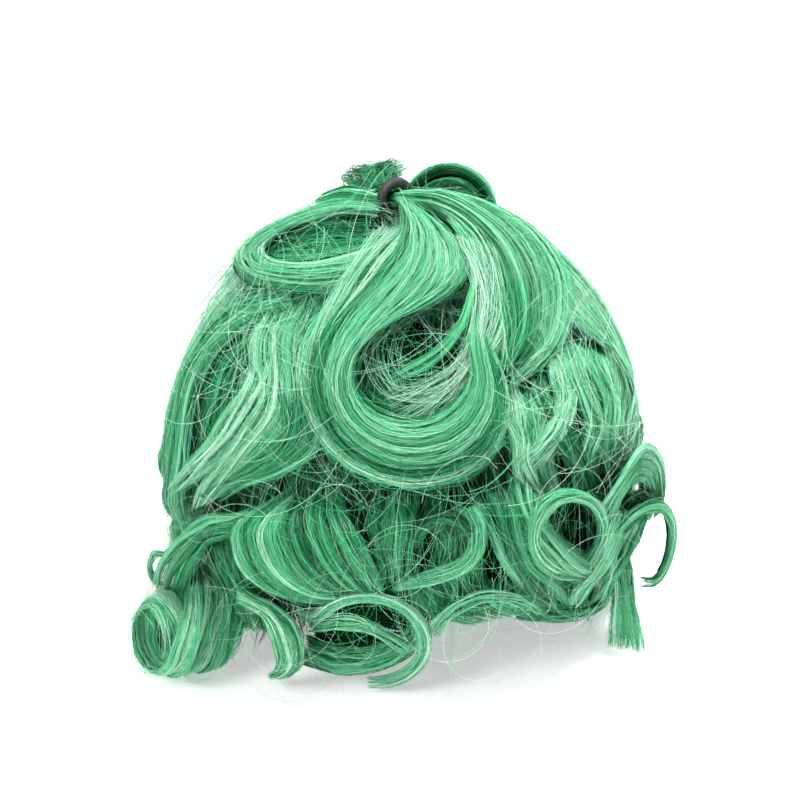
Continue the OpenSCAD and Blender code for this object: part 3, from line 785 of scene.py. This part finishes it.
def make_tail_hollow():
    """Near-black fibres of painted shade in the swirl's hollow, a lock across it, and pale wisps over the
    tail as painted highlight.
    """
    floor_a = [(-26, 40, 5), (-4, 26, 4), (20, 10, 5)]
    floor_b = [(-20, 56, 5), (6, 44, 4), (34, 30, 5)]
    across_a = [(-24, 40, 8), (-19, 16, 8), (2, 3, 8), (24, 14, 9)]
    across_b = [(-12, 42, 8), (-8, 22, 8), (4, 13, 8), (18, 22, 9)]
    # Near-black fibres at the bottom of the hollow: painted shade.
    bands = [band(on_dome, floor_a, floor_b, 260, depth=2, points=12, **dict(PAINTED_SHADE, tone=(0.02, 0.12))),
             band(on_dome, across_a, across_b, 380, depth=3, points=22, clumps=6, tone=(0.15, 0.6),
                  cross=0.06)]
    # Pale wisps: their pale tone is a painted highlight.
    for left, right, count in (
            ([(2, 60, 20), (-16, 34, 16), (-4, 10, 16), (20, 8, 18)],
             [(16, 62, 20), (0, 36, 16), (4, 22, 16), (18, 26, 18)], 26),
            ([(22, 88, 27), (34, 60, 26), (24, 28, 20), (-10, 8, 17)],
             [(40, 84, 24), (46, 50, 22), (30, 14, 18), (0, -10, 16)], 60),
            ([(-10, 90, 24), (-32, 60, 20), (-44, 20, 16), (-24, -22, 16)],
             [(10, 96, 26), (-16, 66, 24), (-34, 26, 20), (10, -24, 18)], 90),
            ([(8, 108, 22), (44, 92, 20), (62, 62, 16), (40, 26, 16)],
             [(20, 100, 24), (34, 80, 22), (44, 50, 20), (20, 6, 18)], 90)):
        bands.append(band(on_dome, left, right, count, depth=2, points=30, clumps=8, cross=0.4, sway=3,
                          thick=(0.07, 0.11), tone=(0.8, 0.98), cycles=0.6))
    bands.append(strays(on_dome, (-50, -30, 19), (75, 100, 24), 90, length=(60, 160), bend=(0.006, 0.02),
                        points=28, thick=(0.06, 0.1)))
    hair_piece("tail_hollow_fibres", bands, "tail")


def make_left_roll():
    outer = [(-8, 106, 7), (-30, 108, 11), (-56, 101, 10), (-76, 91, 9), (-85, 80, 8), (-75, 66, 8),
             (-42, 59, 9), (-8, 64, 12), (10, 76, 15)]
    inner = [(-12, 98, 6), (-30, 99, 11), (-48, 95, 12), (-62, 88, 11), (-67, 81, 10), (-58, 76, 10),
             (-38, 76, 10), (-12, 83, 12), (4, 92, 14)]
    # The first band is a near-black under layer of painted shade.
    bands = [band(on_dome, outer, inner, 300, depth=3, arch=2, points=24, **PAINTED_SHADE),
             band(on_dome, outer, inner, 1000, depth=4, arch=5, points=28, clumps=12, ends=(0.05, 0.25),
                  sway=1.5),
             band(on_dome, outer, inner, 60, depth=6, arch=8, points=24, **STRAY)]
    # Near-black fibres in the roll's hollow: painted shade.
    bands.append(band(on_dome, [(-54, 96, 6), (-30, 98, 8), (-8, 97, 9)],
                      [(-52, 84, 6), (-30, 81, 8), (-4, 82, 9)], 160, depth=2, points=10,
                      **dict(PAINTED_SHADE, tone=(0.02, 0.12))))
    bands += flow(on_dome, ([(-68, 88, 8), (-50, 95, 10), (-32, 96, 10), (-12, 93, 10)],
                            [(-64, 78, 8), (-46, 77, 10), (-28, 79, 10), (-8, 83, 10)]), 200, clumps=7,
                  depth=2, points=16, ends=(0.02, 0.75), tone=(0.3, 0.8), cross=0.12, sway=2)
    scallop_a = [(-10, 110, 14), (-27, 117, 14), (-42, 116, 12)]
    scallop_b = [(-10, 105, 14), (-27, 106, 14), (-44, 104, 12)]
    bands.append(band(on_dome, scallop_a, scallop_b, 240, depth=4, points=12, clumps=5, ends=(0.1, 0.12)))
    hair_piece("left_roll_fibres", bands, "wig", ["left_roll"])


def make_top():
    turn = math.radians(-8)
    arch_place = around((25, 9, 211), (math.sin(turn) * 1.0, -math.cos(turn), 0.2),
                        (math.cos(turn), math.sin(turn), 0))
    t = np.linspace(0, 1, 9)
    outer = np.stack([np.full(9, 5.0), 205 - 222 * t, 23 + 1.5 * np.sin(np.pi * t)], -1)
    inner = np.stack([np.full(9, -5.0), 200 - 212 * t, 13 + 3 * np.sin(np.pi * t)], -1)
    degrees = (1, 2.5, 1)
    # The first band is a near-black under layer of painted shade.
    bands = [band(arch_place, outer - [0, 0, 4], inner, 60, depth=1, points=16, **dict(PAINTED_SHADE, scale=degrees)),
             band(arch_place, outer, inner, 620, depth=2, points=20, clumps=8, ends=(0.03, 0.08),
                  scale=degrees),
             band(arch_place, outer - [0, 0, 7], inner - [3, 0, 9], 320, depth=3, points=18, clumps=8,
                  scale=degrees, tone=(0.4, 0.95))]
    hair_piece("top_loop_fibres", bands, "wig", ["top_loop"])
    low = np.array([[-14, 4, 216], [-21, 11, 220], [-27, 16, 224], [-31, 18, 228]], float)
    high = np.array([[-6, -4, 222], [-4, 7, 227], [-1, 12, 231], [3, 15, 233]], float)
    # The first band is a near-black under layer of painted shade.
    bands = [band(as_is, low, high, 100, depth=1, points=10, **dict(PAINTED_SHADE, trim=(0, 0.3))),
             band(as_is, low, high, 620, depth=3.5, arch=4, points=16, clumps=14, ends=(0.1, 0.5), sway=2.0,
                  cross=0.2, frizz=1.0, tone=(0.2, 0.75), hold=0.3),
             band(as_is, low, high, 60, depth=5, points=14, **dict(STRAY, ends=(0.2, 0.3)))]
    hair_piece("rear_tuft_fibres", bands, "wig", ["rear_tuft"])


# ---------------------------------------------------------------- the curled hem

def roll(name, az, out, z, length, r, count=700, tone=(0.35, 0.95)):
    """A level roll: hair comes down from the dome, over the outside, under, and in again."""
    a = math.radians(az)
    place = around((out * math.cos(a), out * math.sin(a), z), (math.sin(a), -math.cos(a), 0),
                   (math.cos(a), math.sin(a), 0))
    turn = np.array([(103, r * 2.5), (97, r * 1.9), (84, r * 1.3), (52, r * 1.05), (10, r), (-40, r * 0.98),
                     (-95, r * 0.95), (-150, r * 0.88), (-210, r * 0.78), (-280, r * 0.66)])
    t = np.linspace(0, 1, len(turn))
    half = length / 2
    left = np.stack([half * (1.1 - 0.1 * t), turn[:, 0], turn[:, 1] - 0.25 * r], -1)
    right = np.stack([-half * (1.1 - 0.1 * t), turn[:, 0], turn[:, 1] - 0.25 * r], -1)
    scale = (1, 30 / r, 1)
    # The first band is a near-black under layer of painted shade.
    bands = [band(place, left * [0.8, 1, 1], right * [0.8, 1, 1], count * 0.25, depth=1, arch=0.15 * r,
                  points=22, **dict(PAINTED_SHADE, scale=scale)),
             band(place, left, right, count, depth=r * 0.16, arch=0.25 * r, points=26,
                  clumps=max(4, round(length / 6)), hold=0.75, ends=(0.15, 0.35), sway=2.6, cross=0.05,
                  scale=scale, tone=tone),
             band(place, left, right, count * 0.06, depth=r * 0.4, points=22, **dict(STRAY, scale=scale))]
    hair_piece(name + "_fibres", bands, "wig", [name])


def curl(name, pos, az, r, wide, deep, sweep, tilt=0, body="wig", bend=None, count=520, turns_in=0.4,
         fall=True, tone=(0.35, 0.95), loose=2.0):
    """A ring curl that faces outwards; sweep lists the degrees round it that the hair runs through."""
    a = math.radians(az)
    e = math.radians(tilt)
    axis = (math.cos(a) * math.cos(e), math.sin(a) * math.cos(e), math.sin(e))
    place = around(pos, axis, (-math.sin(a), math.cos(a), 0))
    degrees = np.linspace(sweep[0], sweep[1], 12)
    t = np.linspace(0, 1, 12)
    mean = r * (1 - turns_in * t)
    inward = -deep * 1.6 * np.clip(0.25 - t, 0, 1) * 4
    if fall:
        before = np.array([70.0, 62, 48, 28])
        degrees = np.concatenate([sweep[0] - math.copysign(1, sweep[1] - sweep[0]) * before, degrees])
        mean = np.concatenate([r / np.cos(np.radians(before)), mean])
        inward = np.concatenate([-deep * np.array([3.2, 2.8, 2.4, 2.0]), inward])
    else:
        mean = mean * (1 + 1.6 * np.clip(0.22 - t, 0, 1))
    outer = np.stack([inward, degrees, mean + wide * 0.75], -1)
    inner = np.stack([inward, degrees, mean - wide * 0.6], -1)
    front = np.stack([inward + deep, degrees, mean + wide * 0.3], -1)
    rear = np.stack([inward - deep, degrees, mean + wide * 0.5], -1)
    scale = (1, 57 / r, 1)
    look = dict(points=32, clumps=4, hold=0.6, ends=(0.08, 0.35), sway=1.6 * loose, cross=0.04 * loose,
                scale=scale, tone=tone)
    # The first band is a near-black under layer of painted shade.
    bands = [band(place, outer - [0, 0, 3], inner, count * 0.15, depth=wide * 0.3, points=22,
                  **dict(PAINTED_SHADE, scale=scale))]
    bands += [band(place, outer + [deep * side, 0, 0], inner + [deep * side, 0, 0], count * 0.25,
                   depth=wide * 0.3, **look)
              for side in (-0.6, 0.6)]
    bands += [band(place, front, rear, count * 0.6, depth=wide * 0.25, arch=wide * 0.4,
                   **dict(look, clumps=9)),
              band(place, outer, inner, count * 0.05, depth=wide, points=22, **dict(STRAY, scale=scale))]
    hair_piece(name + "_fibres", bands, body, [name], bend)


CURLED = dict(points=26, ends=(0.08, 0.2), sway=1.6)


def make_big_left_roll():
    left = [(-50, -31, -10), (-61, -38, 1), (-74, -45, 13), (-81, -53, 19), (-80, -65, 20), (-74, -76, 18),
            (-62, -84, 14), (-47, -88, 8), (-35, -89, 4)]
    middle = [(-40, -31, -10), (-49, -39, 3), (-54, -50, 17), (-50, -64, 22), (-43, -74, 20), (-34, -81, 12),
              (-26, -82, 4)]
    right = [(-26, -31, -10), (-27, -39, 3), (-22, -50, 15), (-16, -60, 19), (-11, -69, 16), (-9, -77, 10),
             (-8, -83, 4)]
    bands = flow(on_hem, (left, middle), 620, clumps=10, depth=2.5, arch=2, tone=(0.4, 0.95), **CURLED)
    bands += flow(on_hem, (middle, right), 620, clumps=10, depth=2.5, arch=2, tone=(0.3, 0.9), **CURLED)
    bands += flow(on_hem, ([(-34, -40, 4), (-50, -62, 8), (-58, -80, 2)],
                           [(-20, -46, 4), (-18, -64, 8), (-24, -84, 2)]), 160,
                  depth=4, tone=(0.2, 0.6), points=14)
    hair_piece("big_left_roll_fibres", bands, "wig", ["big_left_roll"])


def make_s_lock():
    """The S-shaped lock in the middle of the hem, a near-black sheet of painted shade behind, and the locks
    that hang round it.
    """
    ribbon = [(34, -40, 8), (40, -50, 12), (39, -60, 14), (33, -69, 15), (23, -75, 14), (10, -79, 10),
              (-4, -82, 5)]
    ribbon_in = [(26, -42, 8), (31, -50, 12), (31, -58, 14), (27, -65, 15), (20, -69, 14), (9, -73, 10),
                 (-4, -77, 5)]
    over = [(2, -60, 6), (4, -50, 10), (14, -43, 13), (26, -44, 14), (35, -52, 13)]
    over_in = [(10, -60, 6), (11, -53, 10), (17, -49, 13), (25, -50, 14), (31, -56, 13)]
    # A near-black sheet of painted shade behind the hem's locks, where gaps would show through.
    shade_backing = ([(-106, -20, -6), (-104, -60, -10), (-98, -98, -14)],
               [(128, -14, -6), (122, -56, -10), (112, -94, -14)])
    bands = [band(on_hem, *shade_backing, 900, depth=2, points=12, **dict(PAINTED_SHADE, ends=(0.02, 0.04), trim=(0, 0)))]
    bands += flow(on_hem, (ribbon, ribbon_in), 300, clumps=4, depth=3, arch=2, tone=(0.5, 0.95), **CURLED)
    bands += flow(on_hem, (over, over_in), 160, clumps=3, depth=2, arch=2, tone=(0.15, 0.6), **CURLED)
    sheet = dict(clumps=5, depth=3.5, points=24, sway=2.2, cross=0.05, ends=(0.1, 0.45), arch=3)
    for edges, count, tone in (
            (([(-16, -34, -8), (-15, -46, 6), (-14, -60, 10), (-10, -78, 6)],
              [(6, -34, -8), (6, -46, 6), (5, -60, 9), (4, -78, 5)]), 330, (0.4, 0.95)),
            (([(10, -46, -2), (14, -60, 2), (12, -76, 0), (18, -92, -4)],
              [(34, -46, -2), (36, -60, 2), (40, -76, 0), (44, -92, -4)]), 330, (0.25, 0.85)),
            (([(32, -32, -8), (40, -48, 6), (46, -66, 9), (56, -82, 5), (66, -94, 0)],
              [(56, -30, -8), (58, -44, 6), (64, -62, 9), (76, -78, 5), (88, -92, 0)]), 420, (0.4, 0.95)),
            (([(48, -24, -6), (53, -38, 8), (57, -52, 13), (64, -64, 15), (75, -75, 13), (90, -82, 7)],
              [(64, -22, -6), (64, -40, 8), (70, -52, 12), (80, -62, 13), (91, -70, 12), (102, -75, 7)]),
             420, (0.5, 0.98)),
            (([(2, -76, -2), (7, -88, 0), (18, -96, -3), (36, -101, -6)],
              [(32, -76, -2), (38, -84, 0), (48, -90, -3), (66, -94, -6)]), 300, (0.35, 0.85)),
            (([(40, -76, -2), (43, -88, 0), (52, -96, -3), (72, -101, -7)],
              [(60, -80, -2), (64, -87, 0), (73, -92, -4), (92, -95, -7)]), 260, (0.4, 0.9)),
            (([(66, -80, -4), (70, -90, -4), (80, -97, -6), (98, -100, -8)],
              [(96, -74, -4), (97, -83, -4), (104, -90, -6), (118, -92, -8)]), 300, (0.25, 0.8))):
        bands += flow(on_hem, edges, count, tone=tone, **sheet)
    arcs = [(12, -102, 2), (16, -95, 5), (25, -87, 8), (38, -82, 10), (52, -83, 10), (64, -89, 7),
            (70, -94, 3)]
    arcs_in = [(17, -106, 2), (21, -98, 5), (29, -91, 8), (39, -87, 10), (51, -87, 10), (61, -92, 7),
               (66, -97, 3)]
    bands += flow(on_hem, (arcs, arcs_in), 70, clumps=4, depth=1.5, tone=(0.6, 0.98), under=0.05, **CURLED)
    bands += flow(on_hem, ([(60, -86, -2), (76, -92, 0), (92, -92, 2), (106, -88, 2)],
                           [(56, -98, -4), (76, -102, -2), (94, -101, 0), (108, -98, 0)]), 300, clumps=8,
                  depth=4, tone=(0.2, 0.7), points=16, sway=2.4)
    hair_piece("s_lock_fibres", bands, "wig", ["s_lock"])


def make_right_roll():
    arc_out = [(94, -46, 12), (104, -31, 16), (118, -13, 20), (129, -19, 23), (134, -34, 23), (134, -50, 20)]
    arc_in = [(104, -56, 10), (106, -44, 12), (112, -34, 14), (120, -34, 14), (126, -42, 12), (126, -54, 10)]
    fall = ([(104, -44, 14), (99, -58, 16), (93, -70, 14), (87, -80, 10), (82, -92, 4)],
            [(114, -46, 14), (108, -60, 16), (101, -73, 14), (94, -84, 10), (88, -95, 4)])
    bands = flow(on_hem, (arc_out, arc_in), 520, clumps=8, depth=3, arch=3, tone=(0.5, 0.98), **CURLED)
    bands += flow(on_hem, fall, 260, clumps=4, depth=2.5, arch=2, tone=(0.5, 0.95), **CURLED)
    bands += flow(on_hem, ([(100, -52, 8), (109, -41, 12), (119, -35, 15), (126, -42, 16), (125, -56, 14),
                            (116, -72, 8)],
                           [(104, -62, 6), (109, -54, 9), (113, -50, 12), (116, -53, 12), (114, -63, 10),
                            (106, -78, 6)]),
                  240, clumps=6, depth=3, tone=(0.25, 0.75), points=22, sway=2)
    bands += flow(on_hem, ([(118, -48, 12), (108, -60, 12), (104, -72, 10), (100, -84, 6), (96, -95, 0)],
                           [(130, -44, 12), (124, -58, 12), (117, -70, 10), (110, -82, 6), (106, -95, 0)]),
                  380, clumps=4, depth=3, arch=3, tone=(0.4, 0.95), points=24, sway=2.4, cross=0.06)
    hair_piece("right_roll_fibres", bands, "wig", ["right_roll"])


def make_left_hem_curl():
    arc_out = [(-72, -42, 10), (-80, -45, 14), (-92, -47, 18), (-103, -54, 22), (-113, -62, 24),
               (-121, -73, 24), (-127, -86, 22)]
    arc_in = [(-76, -58, 8), (-84, -58, 12), (-92, -60, 16), (-97, -66, 20), (-101, -74, 22),
              (-105, -84, 22), (-110, -94, 20)]
    bands = flow(on_hem, (arc_out, arc_in), 520, clumps=8, depth=3, arch=4, tone=(0.35, 0.9), **CURLED)
    bands += flow(on_hem, ([(-98, -60, 12), (-92, -74, 12), (-84, -90, 8), (-78, -104, 6)],
                           [(-78, -56, 12), (-74, -74, 12), (-66, -90, 8), (-62, -104, 6)]), 360, clumps=12,
                  depth=4, tone=(0.2, 0.8), points=20, sway=3.4, cross=0.15, frizz=0.8)
    bands += flow(on_hem, ([(-114, -66, 24), (-123, -66, 26), (-128, -74, 26), (-126, -83, 24),
                            (-120, -86, 22)],
                           [(-114, -69, 24), (-121, -69, 26), (-125, -75, 26), (-123, -81, 24),
                            (-118, -83, 22)]), 40, clumps=2,
                  depth=1, points=20, under=0)
    hair_piece("left_hem_curl_fibres", bands, "wig", ["left_hem_curl"])


def make_crescent_curl():
    arc_out = [(-78, -80, 14), (-71, -84, 16), (-61, -88, 18), (-52, -96, 18), (-47, -107, 16),
               (-48, -118, 12), (-55, -126, 8), (-64, -129, 4)]
    arc_in = [(-80, -90, 10), (-73, -92, 12), (-67, -96, 14), (-64, -103, 14), (-62, -110, 12),
              (-61, -118, 8), (-63, -124, 4), (-67, -127, 2)]
    bands = flow(on_hem, (arc_out, arc_in), 400, clumps=7, depth=3, arch=3, tone=(0.4, 0.9), **CURLED)
    hair_piece("crescent_curl_fibres", bands, "wig", ["crescent_curl"])


def make_centre_ring():
    arc_out = [(-52, -92, -4), (-43, -94, 0), (-36, -88, 3), (-25, -83, 5), (-12, -82, 6), (1, -87, 6),
               (10, -96, 4), (14, -108, 1), (12, -119, -3), (5, -127, -6), (-5, -132, -8), (-16, -133, -9)]
    arc_in = [(-50, -98, -4), (-40, -99, 0), (-33, -93, 3), (-24, -88, 5), (-12, -87, 6), (-1, -91, 6),
              (6, -99, 4), (8, -108, 1), (6, -117, -3), (0, -123, -6), (-8, -126, -8), (-18, -127, -9)]
    fill = ([(-46, -106, -2), (-28, -112, -2), (-8, -108, -2), (6, -98, 0)],
            [(-50, -120, -6), (-28, -126, -8), (-8, -122, -8), (8, -112, -4)])
    bands = flow(on_hem, (arc_out, arc_in), 320, clumps=5, depth=2, arch=2, tone=(0.4, 0.95), **CURLED)
    # Near-black fibres inside the ring: painted shade.
    bands.append(band(on_hem, [(-44, -95, -6), (-20, -90, -6), (4, -98, -6)],
                      [(-42, -114, -9), (-20, -121, -10), (4, -114, -9)], 90, depth=2, points=10,
                      **dict(PAINTED_SHADE, tone=(0.1, 0.25), ends=(0.05, 0.3), trim=(0, 0))))
    bands += flow(on_hem, fill, 300, clumps=8, depth=3, arch=2, tone=(0.2, 0.75), points=20, sway=2,
                  cross=0.1)
    bands += flow(on_hem, ([(-44, -98, 0), (-30, -94, 4), (-16, -96, 4), (4, -108, 2)],
                           [(-46, -104, 0), (-30, -102, 4), (-16, -104, 4), (2, -114, 2)]), 60, clumps=6,
                  depth=2, tone=(0.7, 0.98), under=0, points=20, sway=3)
    hair_piece("centre_ring_curl_fibres", bands, "centre_ring", ["centre_ring_curl"],
               ((-8, -100, 58), (-8, -108, 40)))


def make_right_ring():
    arc_out = [(92, -75, 12), (100, -65, 13), (101, -53, 15), (95, -41, 17), (86, -35, 18), (77, -33, 18),
               (67, -37, 18), (60, -46, 17), (59, -57, 16), (63, -67, 16), (71, -75, 15), (81, -79, 12),
               (91, -79, 9)]
    arc_in = [(87, -71, 12), (94, -62, 13), (95, -52, 15), (91, -44, 17), (85, -40, 18), (77, -39, 18),
              (71, -42, 18), (66, -49, 17), (65, -57, 16), (69, -64, 16), (75, -69, 15), (82, -73, 12),
              (90, -73, 9)]
    bands = flow(on_hem, (arc_out, arc_in), 340, clumps=5, depth=2, arch=2, tone=(0.5, 0.98), **CURLED)
    bands += flow(on_hem, ([(68, -48, 8), (78, -58, 10), (92, -68, 10)],
                           [(62, -52, 8), (72, -66, 10), (86, -76, 10)]), 200,
                  clumps=4, depth=2.5, tone=(0.45, 0.95), points=16, sway=1.2)
    hair_piece("right_ring_curl_fibres", bands, "right_ring", ["right_ring_curl"],
               ((72, -72, 100), (80, -84, 88)))


def make_right_loop():
    arc_out = [(100, -58, 16), (109, -49, 18), (118, -43, 21), (130, -42, 25), (139, -49, 28),
               (143, -60, 29), (142, -72, 28), (137, -82, 25), (130, -87, 21), (122, -86, 16)]
    arc_in = [(103, -61, 16), (111, -53, 18), (119, -48, 21), (129, -47, 25), (135, -52, 27), (138, -61, 28),
              (137, -71, 27), (133, -78, 25), (128, -82, 21), (122, -81, 16)]
    bands = flow(on_hem, (arc_out, arc_in), 200, clumps=3, depth=1.6, arch=1, tone=(0.35, 0.85), **CURLED)
    hair_piece("right_loop_curl_fibres", bands, "right_loop", ["right_loop_curl"],
               ((110, -56, 64), (120, -50, 54)))


def make_plain_curls():
    """The left spiral, and the rolls and rings of the sides and the face side."""
    curl("left_spiral_curl", (-107, -92, 29), 222, 19, 8, 20, (150, -400), tilt=6, body="left_spiral",
         bend=((-84, -66, 62), (-92, -76, 48)), count=900, turns_in=0.5, fall=False, loose=2.6,
         tone=(0.45, 0.98))
    roll("left_side_roll", 173, 111, 78, 46, 15, 600)
    roll("left_front_roll", 146, 118, 78, 48, 19, 650)
    roll("right_front_roll", 30, 118, 78, 64, 19, 800)
    curl("left_side_curl", (-113, -8, 26), 184, 17.5, 8, 9, (0, -430))
    curl("left_front_curl", (-90, 78, 25), 139, 17, 8, 12, (0, -420))
    curl("right_side_curl", (114, 16, 25), 8, 17, 8, 9, (180, 600))
    curl("right_front_curl", (88, 80, 25), 42, 17, 8, 12, (180, 600))


def make_tuft():
    left = [(100, -60, 74), (105, -64, 50), (107, -68, 28), (104, -72, 6)]
    right = [(110, -58, 74), (115, -64, 50), (119, -70, 28), (124, -77, 3)]
    # The first band is a near-black under layer of painted shade.
    bands = [band(as_is, left, right, 30, depth=0.6, points=10, **dict(PAINTED_SHADE, trim=(0.1, 0.3))),
             band(as_is, left, right, 480, depth=1.8, points=16, clumps=9, ends=(0.1, 0.22),
                  tone=(0.4, 0.98), sway=1.4, cross=0.08),
             band(as_is, left, right, 30, depth=3, points=16, **dict(STRAY, ends=(0.1, 0.3)))]
    hair_piece("right_tuft_fibres", bands, "tuft", ["right_tuft"], ((100, -58, 66), (105, -62, 54)))


def make_strays():
    """Loose fibres all over: on the tail side, round the outline, at the hem and on both sides."""
    hair_piece("stray_fibres", [
        strays(on_dome, (-118, -30, 6), (-20, 100, 14), 90),
        strays(on_dome, (30, -30, 6), (122, 95, 13), 90),
        strays(on_dome, (-80, 60, 10), (70, 114, 16), 70),
        strays(on_hem, (-122, -90, 12), (118, -34, 22), 80, length=(30, 90), bend=(0.015, 0.04), points=26),
        strays(on_side(0, 44), (-60, 60, 2), (60, 220, 8), 90, length=(25, 70)),
        strays(on_side(182, 136), (-60, 60, 2), (60, 220, 8), 90, length=(25, 70)),
        strays(on_dome, (-100, 30, 12), (0, 118, 19), 60, length=(60, 150), bend=(0.008, 0.022), points=26),
        strays(on_dome, (0, 30, 12), (112, 118, 19), 50, length=(60, 150), bend=(0.008, 0.022), points=26),
        strays(on_hem, (-125, -112, 20), (130, -60, 30), 60, length=(40, 100), bend=(0.02, 0.05), points=30),
        strays(on_dome, (-116, 30, 10), (-60, 104, 26), 70, length=(40, 110), bend=(0.01, 0.03), points=26,
               thick=(0.08, 0.11)),
        strays(on_dome, (60, 0, 10), (116, 104, 24), 60, length=(40, 110), bend=(0.01, 0.03), points=26,
               thick=(0.08, 0.11)),
    ], "wig")


dress_cap()
make_crown()
for panel, (az_from, az_to) in PANELS.items():
    make_panel(panel, az_from, az_to)
make_left_mantle()
make_right_mantle()
make_tail_sweep()
make_tail_swirl()
make_tail_bundle()
make_tail_hollow()
make_left_roll()
make_top()
make_big_left_roll()
make_s_lock()
make_right_roll()
make_left_hem_curl()
make_crescent_curl()
make_centre_ring()
make_right_ring()
make_right_loop()
make_plain_curls()
make_tuft()
make_strays()
